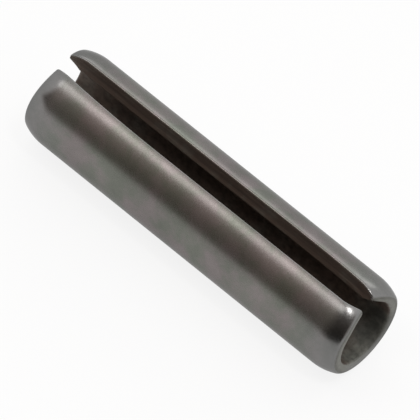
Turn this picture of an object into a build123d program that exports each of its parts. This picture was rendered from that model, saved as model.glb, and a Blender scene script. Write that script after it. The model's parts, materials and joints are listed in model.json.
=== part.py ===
from build123d import *
from math import asin, tan
import os

# A slotted spring pin, or roll pin, 7/16 x 1 3/4 inch: one strip of spring steel rolled into a tube that
# stays open along one side, so that it closes a little when it is driven into its hole. Both ends are
# pressed in to lead it there. Lengths are in millimetres. +X runs along the pin and +Z points out through
# the slot. The pin lies on the plane Z = 0, slot up, with the middle of its length at X = 0.

# Driving dimensions
LENGTH = 44.45
DIAMETER = 11.48       # as made, before a hole closes it
WALL = 1.956           # thickness of the strip, 0.077 inch
SLOT_WIDTH = 3.30      # from lip to lip at the outside, if their edges were sharp
SLOT_END_WIDTH = 2.10  # the same at the ends, where the lips lean towards each other
LEAN_LENGTH = 12.0     # how far from each end the lips start to lean
PRESS_LENGTH = 2.85    # how far from each end the outside starts to turn in
PRESS_DEPTH = 0.70     # how far in it has come at the end, if that corner were sharp
END_RADIUS = 0.52      # corner between the pressed outside and the end face
MOUTH_RADIUS = 0.40    # corner between the end face and the bore
END_SHARE = 0.5        # the most of the end face's rim that the outer corner may take, if the wall is thin
MOUTH_SHARE = 0.35     # the most of it that the corner at the bore may take
EDGE_RADIUS = 0.23     # corners all round both lips

# What follows from them
OUTER_RADIUS = DIAMETER / 2
BORE_RADIUS = OUTER_RADIUS - WALL
HALF_LENGTH = LENGTH / 2
HALF_STRAIGHT = HALF_LENGTH - PRESS_LENGTH  # from the middle to where the pressing starts
HALF_UPRIGHT = HALF_LENGTH - LEAN_LENGTH  # from the middle to where the lips start to lean
PRESSED_RADIUS = OUTER_RADIUS - PRESS_DEPTH
RIM = PRESSED_RADIUS - BORE_RADIUS  # what the pressing leaves of the wall at the end face

SAME_PLACE = 0.001  # positions that differ by less than this are the same


def wall_section():
    """The wall above the axis, cut lengthwise, from the middle of the pin to one end."""
    shoulder = (HALF_STRAIGHT, OUTER_RADIUS)
    corner = (HALF_LENGTH, PRESSED_RADIUS)
    with BuildSketch(Plane.XZ) as section:
        with BuildLine():
            outside = Line((0, OUTER_RADIUS), shoulder)
            TangentArc(shoulder, corner, tangent=outside % 1)
            Polyline(corner, (HALF_LENGTH, BORE_RADIUS), (0, BORE_RADIUS), (0, OUTER_RADIUS))
        make_face()
        # Corners are found by their place on the sketch's own plane
        outer_corner = section.vertices().sort_by_distance(corner)[0]
        fillet(outer_corner, min(END_RADIUS, END_SHARE * RIM))
        bore_corner = section.vertices().sort_by_distance((HALF_LENGTH, BORE_RADIUS))[0]
        fillet(bore_corner, min(MOUTH_RADIUS, MOUTH_SHARE * RIM))
    return section.sketch


def tube():
    """The tube with both ends pressed in, before the slot."""
    half = revolve(wall_section(), Axis.X)
    return half + mirror(half, Plane.YZ)


def slot_outline(height):
    """The slot from above, as wide as it is at this height over the axis, because its sides are radial."""
    side = height * tan(asin(SLOT_WIDTH / DIAMETER))
    side_at_end = height * tan(asin(SLOT_END_WIDTH / DIAMETER))
    beyond = LENGTH
    with BuildSketch(Plane.XY.offset(height)) as outline:
        with BuildLine():
            straight = Line((-HALF_UPRIGHT, side), (HALF_UPRIGHT, side))
            lean = TangentArc(straight @ 1, (HALF_LENGTH, side_at_end), tangent=straight % 1)
            way_out = Line(lean @ 1, (beyond, side_at_end))
            mirror([lean, way_out], about=Plane.YZ)
            mirror(about=Plane.XZ)
            Line((beyond, side_at_end), (beyond, -side_at_end))
            Line((-beyond, side_at_end), (-beyond, -side_at_end))
        make_face()
    return outline.sketch


def slot():
    """What the slot takes away, from inside the bore to above the pin."""
    return loft([slot_outline(BORE_RADIUS / 2), slot_outline(DIAMETER)], ruled=True)


def is_lip_edge(edge):
    """All round a lip, apart from the lines across it where it starts to lean, which are smooth."""
    centre = edge.center()
    where_it_leans = abs(abs(centre.X) - HALF_UPRIGHT) < SAME_PLACE
    return abs(centre.Y) > SAME_PLACE and not where_it_leans


def spring_pin():
    """The whole pin, lying on Z = 0."""
    pin = tube() - slot()
    return Pos(0, 0, OUTER_RADIUS) * fillet(pin.edges().filter_by(is_lip_edge), EDGE_RADIUS)


os.makedirs("parts", exist_ok=True)
export_step(spring_pin(), "parts/spring_pin.step")
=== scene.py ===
import json
from math import asin, atan2, cos, pi, radians, sin, sqrt

import bmesh
import bpy
from bpy.props import FloatProperty, FloatVectorProperty, PointerProperty
from mathutils import Matrix, Vector


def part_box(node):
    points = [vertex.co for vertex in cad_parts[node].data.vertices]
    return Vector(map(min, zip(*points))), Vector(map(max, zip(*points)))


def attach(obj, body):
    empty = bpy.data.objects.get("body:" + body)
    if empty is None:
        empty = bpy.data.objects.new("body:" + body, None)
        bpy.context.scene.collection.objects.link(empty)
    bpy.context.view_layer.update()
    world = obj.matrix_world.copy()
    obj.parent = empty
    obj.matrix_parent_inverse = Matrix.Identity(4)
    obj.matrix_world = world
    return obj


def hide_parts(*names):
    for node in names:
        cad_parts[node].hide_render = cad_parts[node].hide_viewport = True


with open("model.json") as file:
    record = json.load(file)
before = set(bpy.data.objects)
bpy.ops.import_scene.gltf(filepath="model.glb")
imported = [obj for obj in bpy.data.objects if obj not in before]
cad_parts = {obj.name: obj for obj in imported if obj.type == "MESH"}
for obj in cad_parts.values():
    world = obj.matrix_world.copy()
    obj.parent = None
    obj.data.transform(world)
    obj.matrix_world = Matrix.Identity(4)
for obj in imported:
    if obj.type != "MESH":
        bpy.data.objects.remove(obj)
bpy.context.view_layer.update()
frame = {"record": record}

bl_info = {
    "name": "Spring Roll Pin",
    "version": (1, 0, 0),
    "blender": (4, 5, 0),
    "location": "View3D > Sidebar > Spring Pin",
    "description": "Models a slotted spring roll pin of satin spring steel and sets it on a studio floor",
    "category": "Object",
}

MM = 0.001
NODE = "spring_pin"

# What the frame says: the pin lies along X on the floor, with its slot up.
MOUNTS = {mount["name"]: mount for mount in frame["record"]["mounts"]}
LOW, HIGH = (Vector(corner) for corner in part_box(NODE))
RADIUS = MOUNTS["outside"]["dims"]["r_mm"] * MM
BORE_RADIUS = MOUNTS["bore"]["dims"]["r_mm"] * MM
STRAIGHT = MOUNTS["outside"]["dims"]["length_mm"] * MM
LENGTH = HIGH.x - LOW.x
AXIS = Vector((0, 0, RADIUS))

# How finely the pin is divided
STRAIGHT_STEPS = 12  # from its middle to where the pressing starts
PRESS_STEPS = 12  # along the pressed length
CORNER_STEPS = 6  # along the rounding of the end
ROUND_STEPS = 150  # round the wall, between the strips at its lips
EDGE_STEPS = 5  # across the rounding of the lips' edges
LIP_STRIP = radians(5)  # the first and last step round the wall, wide enough to hold a lip's rounding
SHARP = radians(40)  # edges that turn by more than this are rounded
CLOSE = 1e-7  # places that differ by less than this, in metres or radians, are the same
MERGE = 0.004 * MM  # vertices that the rounding leaves nearer than this become one

# The press leaves no two lip ends alike: which end (1 is at +X), which side (1 is towards +Y), how far from
# the middle of the pin the lip starts to lean over the slot, how far it leans at the end, how far its corner
# is pushed back along the pin, how far round the pin that is felt, and what share of the wall its corner
# loses on the inside.
LIP_ENDS = (
    {"end": 1, "side": -1, "lean_from": 19.2 * MM, "lean": radians(7.4),
     "push_back": 0.42 * MM, "push_reach": radians(35), "thinning": 0.2},
    {"end": 1, "side": 1, "lean_from": 13 * MM, "lean": radians(4.7),
     "push_back": 0.75 * MM, "push_reach": radians(30), "thinning": 0.5},
    {"end": -1, "side": -1, "lean_from": 7 * MM, "lean": radians(5.6),
     "push_back": 0.37 * MM, "push_reach": radians(65), "thinning": 0.2},
    {"end": -1, "side": 1, "lean_from": 18 * MM, "lean": radians(1.5),
     "push_back": 0.05 * MM, "push_reach": radians(20), "thinning": 0.42},
)
LEAN_REACH = radians(22)  # how far round from a lip the wall gives when the lip leans
THIN_ROUND = radians(45)  # how far round from a lip its thinner corner reaches
THIN_ALONG = 1.8 * MM  # and how far along the pin
INNER_CORNER = 0.11 * MM  # how much the shears have rolled over the lips' inner corners, all along
OUT_OF_SQUARE = {1: 0.20 * MM, -1: 0.24 * MM}  # how much each end face falls back on the slot's side

# The steel
GREY_START = STRAIGHT / 2 - 4 * MM  # how far from the middle it starts to turn greyer
RUBBED_BRIGHTER = 0.2  # what share rubbing adds to its colour
RUBBED_SMOOTHER = -0.07  # what rubbing takes off its roughness
PRESS_START = STRAIGHT / 2 - 0.5 * MM  # how far from the middle the press starts to smooth it
PRESS_FULL = STRAIGHT / 2 + 1 * MM  # and where it has smoothed it most
PRESS_SMOOTHER = 0.6  # how much it does so, next to rubbing
GRAINY = 0.16  # how much the roughness varies with the pits
PIT_DEPTH = 0.002 * MM
RUBBED_PITS = -0.8  # what share of their depth rubbing takes off
MARK_DEPTH = 0.0006 * MM  # of the marks that rolling and shearing leave along the pin
MARK_LENGTH = 5 * MM
MARK_WIDTH = 0.22 * MM

# What is left of its scale, and the light and shade painted in its mouths
SCALE_METALLIC = 0.3
SCALE_ROUGHNESS = 0.62
END_TUMBLED = 0.2  # how much of it tumbling has taken off the end faces
END_TUMBLED_LOW = 0.4  # and how much more opposite the slot
PAINTED_LIGHT_START = 3 * MM  # how far inside the ends the painted light starts to make the scale paler, in the mouths
PAINTED_LIGHT_FULL = 0.5 * MM  # and where it is palest
SCALE_FLECK = 0.7 * MM  # size of its flecks in the bore
TORN = 0.7 * MM  # how far out from the bore the shears have torn a lip
BURNISHED = 0.95 * MM  # and from where on they have burnished it
# Painted shade: one side of the mouth at +X and the end face's rim beside it are darkened in their colour,
# where shade falls and where they reflect the pin's shadow on the floor
PAINTED_SHADE_SIDE = (0, sin(radians(127)), cos(radians(127)))  # from the axis to the painted shade in the mouth at +X
PAINTED_SHADE_START = 5 * MM  # how far inside that end the painted shade starts
PAINTED_SHADE_FULL = 1 * MM  # and where it covers all
PAINTED_SHADE_TAKES = -0.67  # how much it takes off the colour
PAINTED_SHADE_ON_FACE = -0.5  # and off that of the end face
PAINTED_SHADE_EASES = 1.6 * MM  # how far inside the end the first turns into the second
PAINTED_SHADE_EASED = 0.4 * MM  # and has turned into it

# The picture
IMAGE = 420  # pixels each way
PIN_IN_IMAGE = (210.2, 210.3)  # where the middle of the pin's axis comes, in pixels
SENSOR = 36  # mm
CLIP = 10  # how many times nearer and farther than the pin the camera sees
FLOOR_SIZE = 6  # metres each way
FLOOR_LIFT = 0.85  # how far the floor goes from its own colour towards white, for the camera
FLOOR_LIFT_IN_METAL = 0.7  # and in reflections, which also show more of the pin's shadow
LAMPS = (  # name, direction from the pin, distance, length along X, width and radiance
    ("key", (-0.27, -0.282, 0.920), 1.0, 0.86, 0.25, 2.3),
    ("spot", (0.30, -0.09, 0.950), 1.0, 0.2, 0.1, 27.0),
    ("back", (-0.3, 0.85, 0.45), 1.2, 1.2, 0.4, 1.1),
)


def linear(hex_colour):
    """An sRGB hex colour as linear red, green, blue and alpha."""
    channels = [int(hex_colour[place:place + 2], 16) / 255 for place in (1, 3, 5)]
    curve = [c / 12.92 if c <= 0.04045 else ((c + 0.055) / 1.055) ** 2.4 for c in channels]
    return (*curve, 1)


class SpringPinSizes(bpy.types.PropertyGroup):
    length: FloatProperty(
        name="Length", description="From end face to end face", default=LENGTH, unit="LENGTH", precision=5)
    radius: FloatProperty(
        name="Outside radius", description="Of the straight part, before a hole closes it",
        default=RADIUS, unit="LENGTH", precision=5)
    bore_radius: FloatProperty(
        name="Bore radius", description="Of the inside, all along",
        default=BORE_RADIUS, unit="LENGTH", precision=5)
    slot_width: FloatProperty(
        name="Slot width", description="From lip to lip at the outside, if their edges were sharp",
        default=3.30 * MM, unit="LENGTH", precision=5)
    press_length: FloatProperty(
        name="Pressed length", description="How far from each end the outside starts to turn in",
        default=(LENGTH - STRAIGHT) / 2, unit="LENGTH", precision=5)
    press_depth: FloatProperty(
        name="Pressed depth", description="How far in it has come at the end, if that corner were sharp",
        default=0.70 * MM, unit="LENGTH", precision=5)
    end_radius: FloatProperty(
        name="End rounding", description="Corner between the pressed outside and the end face",
        default=0.52 * MM, unit="LENGTH", precision=5)
    mouth_radius: FloatProperty(
        name="Mouth rounding", description="Corner between the end face and the bore",
        default=0.40 * MM, unit="LENGTH", precision=5)
    edge_radius: FloatProperty(
        name="Edge rounding", description="Corners all round both lips",
        default=0.23 * MM, unit="LENGTH", precision=5)


class SpringPinFinish(bpy.types.PropertyGroup):
    brown: FloatVectorProperty(
        name="Browner steel", description="Where the oxide is thicker", default=linear("#7B7574"),
        subtype="COLOR", size=4, min=0, max=1)
    green: FloatVectorProperty(
        name="Greener steel", description="Where the oxide is thinner", default=linear("#74766F"),
        subtype="COLOR", size=4, min=0, max=1)
    grey: FloatVectorProperty(
        name="Greyer steel", description="Where the press has rubbed the oxide, at both ends",
        default=linear("#797978"), subtype="COLOR", size=4, min=0, max=1)
    brown_scale: FloatVectorProperty(
        name="Brown scale", description="From the furnace, left in the bore and on the sheared lips",
        default=linear("#564A42"), subtype="COLOR", size=4, min=0, max=1)
    # Partly painted light: besides the end faces, this paler colour is painted in clouds on the bore's floor
    # at the mouths, where light falls in
    grey_scale_and_painted_light: FloatVectorProperty(
        name="Grey scale", description="Clouds of paler scale, mostly at the mouths of the bore",
        default=linear("#6B6B64"), subtype="COLOR", size=4, min=0, max=1)
    patch: FloatProperty(
        name="Patch size", description="Of the brown and green clouds",
        default=3.2 * MM, unit="LENGTH", precision=5)
    grain: FloatProperty(
        name="Grain size", description="Of the pits that tumbling leaves, drawn coarser than they are",
        default=0.28 * MM, unit="LENGTH", precision=5)
    roughness: FloatProperty(
        name="Roughness", description="Of the tumbled outside", default=0.28, min=0, max=1)


class SpringPinStage(bpy.types.PropertyGroup):
    floor: FloatVectorProperty(
        name="Floor", description="Matt white card",
        default=linear("#F0F0F0"), subtype="COLOR", size=4, min=0, max=1)
    view_from_axis: FloatProperty(
        name="View from the axis", description="Angle between the pin and the line of sight",
        default=radians(71.4), subtype="ANGLE")
    slot_turn: FloatProperty(
        name="Slot turn", description="Angle round the pin from the line of sight to the slot",
        default=radians(30.8), subtype="ANGLE")
    slope: FloatProperty(
        name="Slope", description="Fall of the pin across the picture",
        default=radians(38.7), subtype="ANGLE")
    distance: FloatProperty(
        name="Distance", description="From the pin to the camera", default=0.987, unit="LENGTH")
    frame_height: FloatProperty(
        name="Frame", description="What the picture takes in, at the pin", default=44.35 * MM, unit="LENGTH")


# Materials


def add(tree, kind, inputs=None, **settings):
    """Add a node, set its settings, and set or link its inputs."""
    node = tree.nodes.new(kind)
    for name, value in settings.items():
        setattr(node, name, value)
    for socket, value in (inputs or {}).items():
        if isinstance(value, bpy.types.NodeSocket):
            tree.links.new(value, node.inputs[socket])
        else:
            node.inputs[socket].default_value = value
    return node


def new_material(name):
    """A material with no nodes yet, and its tree."""
    material = bpy.data.materials.new(name)
    material.use_nodes = True
    material.node_tree.nodes.clear()
    return material, material.node_tree


def tempered_spring_steel(finish):
    # Spring strip, hardened and tempered, then tumbled with a film of oil. Its thin oxide makes a dark
    # satin metal, clouded brown and green, that shows lamp and floor as soft-edged bands. The lips' edges are
    # rubbed brighter and smoother, and a dull brown scale stays in the bore, on the sheared lips and on most
    # of the end faces. Light on the bore's floor opposite the slot is painted paler in the mouths, and shade
    # at one side of the mouth at +X is painted darker.
    material, tree = new_material("tempered spring steel, tumbled and oiled")
    place = add(tree, "ShaderNodeTexCoord")

    # Where a point lies: out from the axis, along the pin, from its middle, and opposite the slot or not
    centred = add(tree, "ShaderNodeMapping", {
        "Vector": place.outputs["Object"], "Location": -AXIS, "Scale": (0, 1, 1)})
    from_axis = add(tree, "ShaderNodeVectorMath", {0: centred.outputs["Vector"]}, operation="LENGTH")
    outwards = add(tree, "ShaderNodeVectorMath", {0: centred.outputs["Vector"]}, operation="NORMALIZE")
    along = add(tree, "ShaderNodeSeparateXYZ", {0: place.outputs["Object"]})
    from_middle = add(tree, "ShaderNodeMath", {0: along.outputs["X"]}, operation="ABSOLUTE")
    upwards = add(tree, "ShaderNodeSeparateXYZ", {0: outwards.outputs["Vector"]})
    opposite_slot = add(tree, "ShaderNodeMapRange", {
        "Value": upwards.outputs["Z"], "From Min": -0.6, "From Max": -0.95},
        interpolation_type="SMOOTHSTEP")

    # Which way the surface faces there: outwards, along the pin, or into the slot and the bore
    facing_out = add(tree, "ShaderNodeVectorMath", {
        0: outwards.outputs["Vector"], 1: place.outputs["Normal"]}, operation="DOT_PRODUCT")
    facing = add(tree, "ShaderNodeSeparateXYZ", {0: place.outputs["Normal"]})
    facing_along = add(tree, "ShaderNodeMath", {0: facing.outputs["X"]}, operation="ABSOLUTE")
    outside = add(tree, "ShaderNodeMapRange", {
        "Value": facing_out.outputs["Value"], "From Min": 0.1, "From Max": 0.6},
        interpolation_type="SMOOTHSTEP")
    end_face = add(tree, "ShaderNodeMapRange", {
        "Value": facing_along.outputs[0], "From Min": 0.5, "From Max": 0.85},
        interpolation_type="SMOOTHSTEP")
    on_lip = add(tree, "ShaderNodeMapRange", {
        "Value": facing_out.outputs["Value"], "From Min": -0.8, "From Max": -0.5},
        interpolation_type="SMOOTHSTEP")

    # What tumbling has reached: the outside, and a little of the end faces. It rubs the lips' edges most.
    cleaned = add(tree, "ShaderNodeMath", {
        0: opposite_slot.outputs["Result"], 1: END_TUMBLED_LOW, 2: END_TUMBLED}, operation="MULTIPLY_ADD")
    cleaned = add(tree, "ShaderNodeMath", {
        0: end_face.outputs["Result"], 1: cleaned.outputs[0]}, operation="MULTIPLY")
    tumbled = add(tree, "ShaderNodeMath", {
        0: outside.outputs["Result"], 1: cleaned.outputs[0]}, operation="MAXIMUM")
    turned = add(tree, "ShaderNodeMapRange", {
        "Value": facing_out.outputs["Value"], "From Min": 0.95, "From Max": 0.7})
    turned = add(tree, "ShaderNodeMath", {
        0: turned.outputs["Result"], 1: facing_along.outputs[0]}, operation="SUBTRACT", use_clamp=True)
    rubbed = add(tree, "ShaderNodeMath", {
        0: turned.outputs[0], 1: outside.outputs["Result"]}, operation="MULTIPLY")

    # Steel: clouds of oxide, greyer at both ends, brighter where rubbed
    clouds = add(tree, "ShaderNodeTexNoise", {
        "Vector": place.outputs["Object"], "Scale": 1 / finish.patch, "Detail": 4, "Roughness": 0.6})
    oxide = add(tree, "ShaderNodeMapRange", {"Value": clouds.outputs[0], "From Min": 0.4, "From Max": 0.6})
    steel = add(tree, "ShaderNodeMix", {
        0: oxide.outputs["Result"], 6: finish.green, 7: finish.brown}, data_type="RGBA")
    near_end = add(tree, "ShaderNodeMapRange", {
        "Value": from_middle.outputs[0], "From Min": GREY_START, "From Max": LENGTH / 2})
    steel = add(tree, "ShaderNodeMix", {
        0: near_end.outputs["Result"], 6: steel.outputs[2], 7: finish.grey}, data_type="RGBA")
    shade = add(tree, "ShaderNodeTexNoise", {
        "Vector": place.outputs["Object"], "Scale": 0.5 / finish.patch, "Detail": 7, "Roughness": 0.65})
    shade = add(tree, "ShaderNodeMapRange", {
        "Value": shade.outputs[0], "From Min": 0.3, "From Max": 0.7, "To Min": 0.8, "To Max": 1.2})
    brighter = add(tree, "ShaderNodeMath", {
        0: rubbed.outputs[0], 1: RUBBED_BRIGHTER, 2: shade.outputs["Result"]}, operation="MULTIPLY_ADD")
    steel = add(tree, "ShaderNodeVectorMath", {
        0: steel.outputs[2], "Scale": brighter.outputs[0]}, operation="SCALE")

    # Scale: brown, and paler grey on the end faces. In the mouths opposite the slot, paler grey clouds are
    # painted light, for the light that falls on the bore's floor there.
    painted_light_in_mouth = add(tree, "ShaderNodeMapRange", {
        "Value": from_middle.outputs[0],
        "From Min": LENGTH / 2 - PAINTED_LIGHT_START, "From Max": LENGTH / 2 - PAINTED_LIGHT_FULL},
        interpolation_type="SMOOTHSTEP")
    painted_light_in_mouth = add(tree, "ShaderNodeMath", {
        0: painted_light_in_mouth.outputs["Result"], 1: opposite_slot.outputs["Result"]}, operation="MULTIPLY")
    pale_scale_and_painted_light = add(tree, "ShaderNodeMath", {0: clouds.outputs[0], 1: 0.5}, operation="SUBTRACT")
    pale_scale_and_painted_light = add(tree, "ShaderNodeMath", {
        0: pale_scale_and_painted_light.outputs[0], 1: -2.5, 2: painted_light_in_mouth.outputs[0]}, operation="MULTIPLY_ADD", use_clamp=True)
    pale_scale_and_painted_light = add(tree, "ShaderNodeMath", {
        0: pale_scale_and_painted_light.outputs[0], 1: end_face.outputs["Result"]}, operation="MAXIMUM")
    scale = add(tree, "ShaderNodeMix", {
        0: pale_scale_and_painted_light.outputs[0], 6: finish.brown_scale, 7: finish.grey_scale_and_painted_light}, data_type="RGBA")

    # It is flecked in the bore. On the lips it shows the marks of the shears, and is paler where they tore
    # the steel than where they burnished it.
    flecks = add(tree, "ShaderNodeTexNoise", {
        "Vector": place.outputs["Object"], "Scale": 1 / SCALE_FLECK, "Detail": 3, "Roughness": 0.6})
    flecked = add(tree, "ShaderNodeMapRange", {
        "Value": flecks.outputs[0], "From Min": 0.35, "From Max": 0.65, "To Min": 0.7, "To Max": 1.3})
    lengthwise = add(tree, "ShaderNodeMapping", {
        "Vector": place.outputs["Object"], "Scale": (1 / MARK_LENGTH, 1 / MARK_WIDTH, 1 / MARK_WIDTH)})
    marks = add(tree, "ShaderNodeTexNoise", {
        "Vector": lengthwise.outputs["Vector"], "Scale": 1, "Detail": 2})
    marked = add(tree, "ShaderNodeMapRange", {
        "Value": marks.outputs[0], "From Min": 0.3, "From Max": 0.7, "To Min": 0.8, "To Max": 1.2})
    torn = add(tree, "ShaderNodeMapRange", {
        "Value": from_axis.outputs["Value"],
        "From Min": BORE_RADIUS + BURNISHED, "From Max": BORE_RADIUS + TORN,
        "To Min": 0.8, "To Max": 1.2}, interpolation_type="SMOOTHSTEP")
    marked = add(tree, "ShaderNodeMath", {
        0: marked.outputs["Result"], 1: torn.outputs["Result"]}, operation="MULTIPLY")
    marks_and_painted_shade = add(tree, "ShaderNodeMix", {
        "Factor": on_lip.outputs["Result"], "A": flecked.outputs["Result"], "B": marked.outputs[0]})

    # Painted shade: one side of the mouth at +X is darkened and turned neutral grey, less so towards the end
    # face
    painted_shade = add(tree, "ShaderNodeVectorMath", {
        0: outwards.outputs["Vector"], 1: PAINTED_SHADE_SIDE}, operation="DOT_PRODUCT")
    painted_shade = add(tree, "ShaderNodeMapRange", {
        "Value": painted_shade.outputs["Value"], "From Min": 0.72, "From Max": 0.93},
        interpolation_type="SMOOTHSTEP")
    painted_shade_end = add(tree, "ShaderNodeMapRange", {
        "Value": along.outputs["X"],
        "From Min": LENGTH / 2 - PAINTED_SHADE_START, "From Max": LENGTH / 2 - PAINTED_SHADE_FULL},
        interpolation_type="SMOOTHSTEP")
    painted_shade = add(tree, "ShaderNodeMath", {
        0: painted_shade.outputs["Result"], 1: painted_shade_end.outputs["Result"]}, operation="MULTIPLY")
    painted_shade_takes = add(tree, "ShaderNodeMapRange", {
        "Value": along.outputs["X"],
        "From Min": LENGTH / 2 - PAINTED_SHADE_EASES, "From Max": LENGTH / 2 - PAINTED_SHADE_EASED,
        "To Min": PAINTED_SHADE_TAKES, "To Max": PAINTED_SHADE_ON_FACE})
    painted_shade_leaves = add(tree, "ShaderNodeMath", {
        0: painted_shade.outputs[0], 1: painted_shade_takes.outputs["Result"], 2: 1.0}, operation="MULTIPLY_ADD")
    marks_and_painted_shade = add(tree, "ShaderNodeMath", {
        0: marks_and_painted_shade.outputs["Result"], 1: painted_shade_leaves.outputs[0]}, operation="MULTIPLY")
    scale = add(tree, "ShaderNodeMix", {
        0: painted_shade.outputs[0], 6: scale.outputs[2], 7: finish.grey_scale_and_painted_light}, data_type="RGBA")
    scale = add(tree, "ShaderNodeVectorMath", {
        0: scale.outputs[2], "Scale": marks_and_painted_shade.outputs[0]}, operation="SCALE")
    colour = add(tree, "ShaderNodeMix", {
        0: tumbled.outputs[0], 6: scale.outputs["Vector"], 7: steel.outputs["Vector"]}, data_type="RGBA")

    # Gloss: satin where tumbled, smoother where rubbed and where pressed, dull where the scale is left
    metal = add(tree, "ShaderNodeMapRange", {
        "Value": tumbled.outputs[0], "To Min": SCALE_METALLIC, "To Max": 1.0})
    gloss = add(tree, "ShaderNodeMapRange", {
        "Value": tumbled.outputs[0], "To Min": SCALE_ROUGHNESS, "To Max": finish.roughness})
    pressed = add(tree, "ShaderNodeMapRange", {
        "Value": from_middle.outputs[0], "From Min": PRESS_START, "From Max": PRESS_FULL,
        "To Max": PRESS_SMOOTHER}, interpolation_type="SMOOTHSTEP")
    smoother = add(tree, "ShaderNodeMath", {
        0: rubbed.outputs[0], 1: pressed.outputs["Result"]}, operation="MAXIMUM")
    gloss = add(tree, "ShaderNodeMath", {
        0: smoother.outputs[0], 1: RUBBED_SMOOTHER, 2: gloss.outputs["Result"]}, operation="MULTIPLY_ADD")
    speckle = add(tree, "ShaderNodeTexNoise", {
        "Vector": place.outputs["Object"], "Scale": 1 / finish.grain, "Detail": 3, "Roughness": 0.6})
    gloss = add(tree, "ShaderNodeMath", {
        0: speckle.outputs[0], 1: GRAINY, 2: gloss.outputs[0]}, operation="MULTIPLY_ADD")
    gloss = add(tree, "ShaderNodeMath", {0: gloss.outputs[0], 1: GRAINY / 2}, operation="SUBTRACT")

    # Relief: the strip's faint rolling marks along the pin, and tumbling pits over them
    rolled = add(tree, "ShaderNodeBump", {
        "Strength": 1.0, "Distance": MARK_DEPTH, "Height": marks.outputs[0]})
    unworn = add(tree, "ShaderNodeMath", {
        0: rubbed.outputs[0], 1: RUBBED_PITS, 2: 1.0}, operation="MULTIPLY_ADD")
    pitted = add(tree, "ShaderNodeBump", {
        "Strength": unworn.outputs[0], "Distance": PIT_DEPTH, "Height": speckle.outputs[0],
        "Normal": rolled.outputs["Normal"]})

    # The tint keeps the metal from going white at grazing angles, because oxide and pits scatter there
    shader = add(tree, "ShaderNodeBsdfPrincipled", {
        "Base Color": colour.outputs[2],
        "Metallic": metal.outputs["Result"],
        "Roughness": gloss.outputs[0],
        "Normal": pitted.outputs["Normal"],
        "Specular Tint": linear("#D6D6D6"),
    })
    add(tree, "ShaderNodeOutputMaterial", {"Surface": shader.outputs["BSDF"]})
    return material


def white_card(stage):
    # Matt white card: plain and shadeless, with the pin's own soft shadow on it. To the camera and to the
    # metal it is lifted towards white.
    material, tree = new_material("matt white card")
    rays = add(tree, "ShaderNodeLightPath")
    share = add(tree, "ShaderNodeMath", {
        0: rays.outputs["Is Glossy Ray"], 1: rays.outputs["Is Transmission Ray"]}, operation="MAXIMUM")
    share = add(tree, "ShaderNodeMath", {0: share.outputs[0], 1: FLOOR_LIFT_IN_METAL}, operation="MULTIPLY")
    share = add(tree, "ShaderNodeMath", {
        0: rays.outputs["Is Camera Ray"], 1: FLOOR_LIFT, 2: share.outputs[0]}, operation="MULTIPLY_ADD")
    card = add(tree, "ShaderNodeBsdfDiffuse", {"Color": stage.floor})
    white = add(tree, "ShaderNodeEmission", {"Color": (1, 1, 1, 1), "Strength": 1})
    both = add(tree, "ShaderNodeMixShader", {
        0: share.outputs[0], 1: card.outputs["BSDF"], 2: white.outputs["Emission"]})
    add(tree, "ShaderNodeOutputMaterial", {"Surface": both.outputs[0]})
    return material


# Modelling


def start_piece(name):
    """Leave the active new primitive alone in edit mode, under its own name."""
    piece = bpy.context.object
    piece.name = name
    piece.data.name = name
    bpy.ops.object.mode_set(mode="EDIT")
    return piece


def select_these(piece, chosen):
    """Select the vertices with these numbers, and what lies between them."""
    bpy.ops.mesh.select_all(action="DESELECT")
    mesh = bmesh.from_edit_mesh(piece.data)
    mesh.verts.ensure_lookup_table()
    for number in chosen:
        mesh.verts[number].select = True
    mesh.select_flush(True)
    bmesh.update_edit_mesh(piece.data, loop_triangles=False, destructive=False)


def select(piece, test):
    """Select the vertices whose place passes the test, and what lies between them."""
    mesh = bmesh.from_edit_mesh(piece.data)
    mesh.verts.index_update()
    select_these(piece, [vertex.index for vertex in mesh.verts if test(vertex.co)])


def mouth_radius_at(sizes, from_middle):
    """Radius of the bore, or of its rounded mouth, at this distance from the middle of the pin."""
    into_mouth = max(0, from_middle - sizes.length / 2 + sizes.mouth_radius)
    return sizes.bore_radius + sizes.mouth_radius - sqrt(max(0, sizes.mouth_radius ** 2 - into_mouth ** 2))


def wall_stations(sizes):
    """Distance from the middle of the pin, outside radius and inside radius, as far as its end face."""
    start = sizes.length / 2 - sizes.press_length
    press = (sizes.press_length ** 2 + sizes.press_depth ** 2) / (2 * sizes.press_depth)
    corner = sizes.end_radius
    turn = asin((sizes.press_length - corner) / (press - corner))
    outside = [(start * step / STRAIGHT_STEPS, sizes.radius) for step in range(STRAIGHT_STEPS)]
    for step in range(PRESS_STEPS):
        angle = turn * step / PRESS_STEPS
        outside.append((start + press * sin(angle), sizes.radius - press * (1 - cos(angle))))
    for step in range(CORNER_STEPS + 1):
        angle = turn + (pi / 2 - turn) * step / CORNER_STEPS
        out = (press - corner) * cos(turn) + corner * cos(angle)
        outside.append((sizes.length / 2 - corner * (1 - sin(angle)), sizes.radius - press + out))
    return [(x, radius, mouth_radius_at(sizes, x)) for x, radius in outside]


def round_from_slot(place):
    """How far round the pin a place is from the middle of the slot, positive towards +Y."""
    return atan2(place.y, place.z - AXIS.z)


def turn_round(angle):
    """Turn what is selected round the pin's axis, positive towards +Y on the slot's side."""
    bpy.ops.transform.rotate(value=angle, orient_axis="X", center_override=AXIS)


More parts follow.
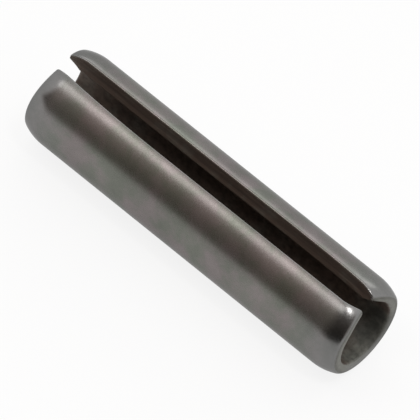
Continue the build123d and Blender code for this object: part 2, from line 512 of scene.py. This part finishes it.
def draw_wall_section(sizes, stations):
    """One quarter of the wall's outline as a flat strip, above the axis and from the middle to +X."""
    wall = sizes.radius - sizes.bore_radius
    first = stations[1][0]
    bpy.ops.mesh.primitive_plane_add(
        size=1, location=(first / 2, 0, AXIS.z + sizes.bore_radius + wall / 2), rotation=(pi / 2, 0, 0))
    pin = start_piece("pin")
    bpy.ops.object.mode_set(mode="OBJECT")
    pin.scale = (first, wall, 1)
    bpy.ops.object.transform_apply(location=True, rotation=True, scale=True)
    bpy.ops.object.mode_set(mode="EDIT")
    for (near, near_outside, near_inside), (far, far_outside, far_inside) in zip(stations[1:], stations[2:]):
        select(pin, lambda place: abs(place.x - near) < CLOSE)
        bpy.ops.mesh.extrude_region_move(TRANSFORM_OT_translate={"value": (far - near, 0, 0)})
        middle = AXIS.z + (near_outside + near_inside) / 2
        select(pin, lambda place: abs(place.x - far) < CLOSE and place.z > middle)
        bpy.ops.transform.translate(value=(0, 0, far_outside - near_outside))
        select(pin, lambda place: abs(place.x - far) < CLOSE and place.z < middle)
        bpy.ops.transform.translate(value=(0, 0, far_inside - near_inside))
    return pin


def spin_wall(half_slot):
    """Carry the section round from one lip to the other."""
    bpy.ops.mesh.select_all(action="SELECT")
    turn_round(half_slot)
    between = 2 * (pi - half_slot - LIP_STRIP)
    for steps, angle in ((1, LIP_STRIP), (ROUND_STEPS, between), (1, LIP_STRIP)):
        bpy.ops.mesh.spin(steps=steps, angle=angle, center=AXIS, axis=(1, 0, 0))
    bpy.ops.mesh.select_all(action="SELECT")
    bpy.ops.mesh.normals_make_consistent(inside=False)


def mirror_half(pin):
    """Open the middle of the half pin and join its mirror image to it."""
    select(pin, lambda place: place.x < CLOSE)
    bpy.ops.mesh.delete(type="FACE")
    bpy.ops.object.mode_set(mode="OBJECT")
    mirror = pin.modifiers.new("other half", "MIRROR")
    mirror.merge_threshold = CLOSE
    bpy.ops.object.modifier_apply(modifier=mirror.name)
    bpy.ops.object.mode_set(mode="EDIT")


def rows_along(half_slot):
    """The angles from the middle of the slot at which the mesh has its rows along the pin."""
    between = 2 * (pi - half_slot - LIP_STRIP)
    inner = [half_slot + LIP_STRIP + between * step / ROUND_STEPS for step in range(ROUND_STEPS + 1)]
    whole = [half_slot, *inner, 2 * pi - half_slot]
    return [angle if angle <= pi else angle - 2 * pi for angle in whole]


def crossings(pin, rows, stations):
    """The numbers of the vertices at each end, row and station, the one on the inside first."""
    found = {}
    mesh = bmesh.from_edit_mesh(pin.data)
    mesh.verts.index_update()
    for vertex in mesh.verts:
        angle = round_from_slot(vertex.co)
        row = min(range(len(rows)), key=lambda number: abs(rows[number] - angle))
        station = min(range(len(stations)), key=lambda number: abs(stations[number][0] - abs(vertex.co.x)))
        found.setdefault((1 if vertex.co.x > 0 else -1, row, station), []).append(
            ((vertex.co - AXIS).yz.length, vertex.index))
    return {place: [number for _, number in sorted(pair)] for place, pair in found.items()}


def push_back_ends(pin, sizes, stations, half_slot, rows, found):
    """Shorten the pressed length row by row, most at the corners of the lips."""
    start = sizes.length / 2 - sizes.press_length
    for end in (1, -1):
        for number, angle in enumerate(rows):
            back = OUT_OF_SQUARE[end] * (1 + cos(angle)) / 2
            for lip in LIP_ENDS:
                from_lip = lip["side"] * angle - half_slot
                if lip["end"] == end and -CLOSE < from_lip < lip["push_reach"]:
                    back += lip["push_back"] * (1 - from_lip / lip["push_reach"]) ** 2
            select_these(pin, [vertex for station, (x, _, _) in enumerate(stations) if x > start
                               for vertex in found[end, number, station]])
            bpy.ops.transform.resize(
                value=(1 - back / sizes.press_length, 1, 1), center_override=(end * start, 0, 0))


def move_out(angle, distance):
    """Move what is selected away from the axis, in the direction that is this far round from the slot."""
    bpy.ops.transform.translate(value=(0, distance * sin(angle), distance * cos(angle)))


def thin_lips(pin, sizes, stations, half_slot, rows, found):
    """Roll over the lips' inner corners, and thin the wall from the inside at the corners of their ends."""
    for side in (1, -1):
        row = 0 if side > 0 else len(rows) - 1
        select_these(pin, [found[end, row, station][0] for end in (1, -1) for station in range(len(stations))
                           if (end, row, station) in found])
        move_out(side * half_slot, INNER_CORNER)
    for lip in LIP_ENDS:
        for number, angle in enumerate(rows):
            from_lip = lip["side"] * angle - half_slot
            if not -CLOSE < from_lip < THIN_ROUND:
                continue
            for station, (x, outside, inside) in enumerate(stations):
                from_end = sizes.length / 2 - x
                if from_end < THIN_ALONG:
                    share = lip["thinning"] * (1 - from_lip / THIN_ROUND) * (1 - from_end / THIN_ALONG)
                    select_these(pin, found[lip["end"], number, station][:1])
                    move_out(angle, share * (outside - inside))


def lean_lips(pin, sizes, stations, half_slot, rows, found):
    """Turn the wall by each lip towards the slot, more and more towards the end."""
    for lip in LIP_ENDS:
        for number, angle in enumerate(rows):
            from_lip = lip["side"] * angle - half_slot
            if not -CLOSE < from_lip < LEAN_REACH:
                continue
            most = lip["lean"] * (1 - from_lip / LEAN_REACH) ** 2
            for station, (x, _, _) in enumerate(stations):
                along = (x - lip["lean_from"]) / (sizes.length / 2 - lip["lean_from"])
                if along > 0:
                    select_these(pin, found[lip["end"], number, station])
                    turn_round(-lip["side"] * most * along ** 2)


def round_edges(sizes):
    """Round the edges that are still sharp, which are those all round both lips."""
    bpy.ops.mesh.select_mode(type="EDGE")
    bpy.ops.mesh.select_all(action="DESELECT")
    bpy.ops.mesh.edges_select_sharp(sharpness=SHARP)
    bpy.ops.mesh.bevel(
        offset=sizes.edge_radius, segments=EDGE_STEPS, profile=0.5, affect="EDGES", loop_slide=False)
    bpy.ops.mesh.select_mode(type="VERT")
    bpy.ops.mesh.select_all(action="SELECT")
    bpy.ops.mesh.remove_doubles(threshold=MERGE)


def finish_surface(pin):
    """Shade the pin smooth, with its flat faces kept flat up to their roundings."""
    bpy.ops.object.mode_set(mode="OBJECT")
    bpy.ops.object.shade_smooth()
    flat = pin.modifiers.new("flat faces stay flat", "WEIGHTED_NORMAL")
    flat.keep_sharp = False
    bpy.ops.object.modifier_apply(modifier=flat.name)


class SPRINGPIN_OT_pin(bpy.types.Operator):
    """Model the pin from a section of its wall, carried round from lip to lip"""

    bl_idname = "spring_pin.pin"
    bl_label = "Model the Pin"

    def execute(self, context):
        sizes = context.scene.spring_pin_sizes
        stations = wall_stations(sizes)
        half_slot = asin(sizes.slot_width / 2 / sizes.radius)
        bpy.ops.object.select_all(action="DESELECT")
        pin = draw_wall_section(sizes, stations)
        spin_wall(half_slot)
        mirror_half(pin)
        rows = rows_along(half_slot)
        found = crossings(pin, rows, stations)
        thin_lips(pin, sizes, stations, half_slot, rows, found)
        lean_lips(pin, sizes, stations, half_slot, rows, found)
        push_back_ends(pin, sizes, stations, half_slot, rows, found)
        round_edges(sizes)
        finish_surface(pin)
        pin.data.materials.append(tempered_spring_steel(context.scene.spring_pin_finish))
        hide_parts(NODE)
        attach(pin, "root")
        return {"FINISHED"}


# The stage


def line_of_sight(stage):
    """From the pin to the camera."""
    across = sin(stage.view_from_axis)
    return Vector((
        cos(stage.view_from_axis), -across * sin(stage.slot_turn), across * cos(stage.slot_turn)))


def place_camera(stage):
    """Look along the line of sight, with the pin sloping down to the right."""
    sight = line_of_sight(stage)
    along = (Vector((1, 0, 0)) - sight.x * sight).normalized()
    across = along.cross(sight)
    right = cos(stage.slope) * along - sin(stage.slope) * across
    down = sin(stage.slope) * along + cos(stage.slope) * across
    off_centre = [pixel - IMAGE / 2 for pixel in PIN_IN_IMAGE]
    aim = AXIS - (right * off_centre[0] + down * off_centre[1]) * stage.frame_height / IMAGE
    turn = Matrix((right, -down, sight)).transposed().to_4x4()
    bpy.ops.object.camera_add()
    camera = bpy.context.object
    camera.name = "camera"
    camera.matrix_world = Matrix.Translation(aim + sight * stage.distance) @ turn
    camera.data.sensor_width = SENSOR
    camera.data.lens = SENSOR * stage.distance / stage.frame_height
    camera.data.clip_start = stage.distance / CLIP
    camera.data.clip_end = stage.distance * CLIP
    bpy.context.scene.camera = camera


def soft_box(name, direction, distance, length, width, radiance):
    """A rectangular lamp that faces the pin, its length along X."""
    back = Vector(direction).normalized()
    side = (Vector((1, 0, 0)) - back.x * back).normalized()
    up = back.cross(side)
    bpy.ops.object.light_add(type="AREA")
    lamp = bpy.context.object
    lamp.name = name
    turn = Matrix((side, up, back)).transposed().to_4x4()
    lamp.matrix_world = Matrix.Translation(AXIS + back * distance) @ turn
    lamp.data.shape = "RECTANGLE"
    lamp.data.size, lamp.data.size_y = length, width
    lamp.data.energy = radiance * pi * length * width  # in watts, as Blender takes it


def light_world():
    """A white room with a dim opening on the camera's side."""
    world = bpy.data.worlds.new("studio")
    bpy.context.scene.world = world
    world.use_nodes = True
    tree = world.node_tree
    tree.nodes.clear()
    direction = add(tree, "ShaderNodeTexCoord")
    sides = add(tree, "ShaderNodeSeparateXYZ", {0: direction.outputs["Generated"]})

    # White walls behind the pin, to its left, where their edge slants, and, less white, to its right
    behind = add(tree, "ShaderNodeMapRange", {
        "Value": sides.outputs["Y"], "From Min": -0.25, "From Max": 0.15},
        interpolation_type="SMOOTHSTEP")
    to_left = add(tree, "ShaderNodeMath", {
        0: sides.outputs["Z"], 1: -0.5, 2: sides.outputs["X"]}, operation="MULTIPLY_ADD")
    to_left = add(tree, "ShaderNodeMapRange", {
        "Value": to_left.outputs[0], "From Min": -0.83, "From Max": -0.98},
        interpolation_type="SMOOTHSTEP")
    to_right = add(tree, "ShaderNodeMapRange", {
        "Value": sides.outputs["X"], "From Min": 0.62, "From Max": 0.85, "To Max": 0.55},
        interpolation_type="SMOOTHSTEP")
    # The white floor sweeps up a little at its edge, most on the left
    sweep = add(tree, "ShaderNodeMath", {
        0: sides.outputs["X"], 1: 0.25, 2: sides.outputs["Z"]}, operation="MULTIPLY_ADD")
    sweep = add(tree, "ShaderNodeMapRange", {
        "Value": sweep.outputs[0], "From Min": 0.06, "From Max": -0.06}, interpolation_type="SMOOTHSTEP")
    lit = add(tree, "ShaderNodeMath", {
        0: behind.outputs["Result"], 1: to_left.outputs["Result"]}, operation="MAXIMUM")
    lit = add(tree, "ShaderNodeMath", {
        0: lit.outputs[0], 1: to_right.outputs["Result"]}, operation="MAXIMUM")
    lit = add(tree, "ShaderNodeMath", {0: lit.outputs[0], 1: sweep.outputs["Result"]}, operation="MAXIMUM")

    # Walls and opening are brighter higher up, and the opening is darker to the right and at its left edge
    height = add(tree, "ShaderNodeMath", {0: sides.outputs["Z"], 1: 0.0}, operation="MAXIMUM")
    height = add(tree, "ShaderNodeMath", {0: height.outputs[0], 1: 2.0}, operation="POWER")
    walls = add(tree, "ShaderNodeMapRange", {"Value": height.outputs[0], "To Min": 0.97, "To Max": 1.1})
    opening = add(tree, "ShaderNodeMapRange", {"Value": height.outputs[0], "To Min": 0.2, "To Max": 0.8})
    right_part = add(tree, "ShaderNodeMapRange", {
        "Value": sides.outputs["X"], "From Min": -0.32, "From Max": 0.12, "To Min": 1.0, "To Max": 0.2})
    opening = add(tree, "ShaderNodeMath", {
        0: opening.outputs["Result"], 1: right_part.outputs["Result"]}, operation="MULTIPLY")
    left_edge = add(tree, "ShaderNodeMapRange", {
        "Value": sides.outputs["X"], "From Min": -0.66, "From Max": -0.42, "To Min": 0.45, "To Max": 1.0})
    opening = add(tree, "ShaderNodeMath", {
        0: opening.outputs[0], 1: left_edge.outputs["Result"]}, operation="MULTIPLY")
    room = add(tree, "ShaderNodeMix", {
        "Factor": lit.outputs[0], "A": opening.outputs[0], "B": walls.outputs["Result"]})
    tone = add(tree, "ShaderNodeMix", {
        0: lit.outputs[0], 6: linear("#FFEFE4"), 7: (1, 1, 1, 1)}, data_type="RGBA")

    # The camera sees plain white beyond the floor
    rays = add(tree, "ShaderNodeLightPath")
    seen = add(tree, "ShaderNodeMath", {
        0: room.outputs["Result"], 1: rays.outputs["Is Camera Ray"]}, operation="MAXIMUM")
    shader = add(tree, "ShaderNodeBackground", {"Color": tone.outputs[2], "Strength": seen.outputs[0]})
    add(tree, "ShaderNodeOutputWorld", {"Surface": shader.outputs[0]})


class SPRINGPIN_OT_stage(bpy.types.Operator):
    """Set the floor, the lights and the camera"""

    bl_idname = "spring_pin.stage"
    bl_label = "Set the Stage"

    def execute(self, context):
        stage = context.scene.spring_pin_stage
        context.scene.view_settings.view_transform = "Standard"
        bpy.ops.object.select_all(action="DESELECT")
        bpy.ops.mesh.primitive_plane_add(size=FLOOR_SIZE)
        floor = context.object
        floor.name = "floor"
        floor.data.materials.append(white_card(stage))
        light_world()
        for lamp in LAMPS:
            soft_box(*lamp)
        place_camera(stage)
        return {"FINISHED"}


class SPRINGPIN_PT_panel(bpy.types.Panel):
    """The pin and its stage, in the order they are made"""

    bl_idname = "SPRINGPIN_PT_panel"
    bl_label = "Spring Roll Pin"
    bl_space_type = "VIEW_3D"
    bl_region_type = "UI"
    bl_category = "Spring Pin"

    def draw(self, context):
        for operator in OPERATORS:
            self.layout.operator(operator.bl_idname)


OPERATORS = (SPRINGPIN_OT_pin, SPRINGPIN_OT_stage)
GROUPS = {
    "spring_pin_sizes": SpringPinSizes,
    "spring_pin_finish": SpringPinFinish,
    "spring_pin_stage": SpringPinStage,
}
CLASSES = (*GROUPS.values(), *OPERATORS, SPRINGPIN_PT_panel)


def register():
    for each in CLASSES:
        bpy.utils.register_class(each)
    for name, group in GROUPS.items():
        setattr(bpy.types.Scene, name, PointerProperty(type=group))


def unregister():
    for name in GROUPS:
        delattr(bpy.types.Scene, name)
    for each in reversed(CLASSES):
        bpy.utils.unregister_class(each)


def main():
    register()
    bpy.ops.spring_pin.pin()
    bpy.ops.spring_pin.stage()


if __name__ == "__main__":
    main()
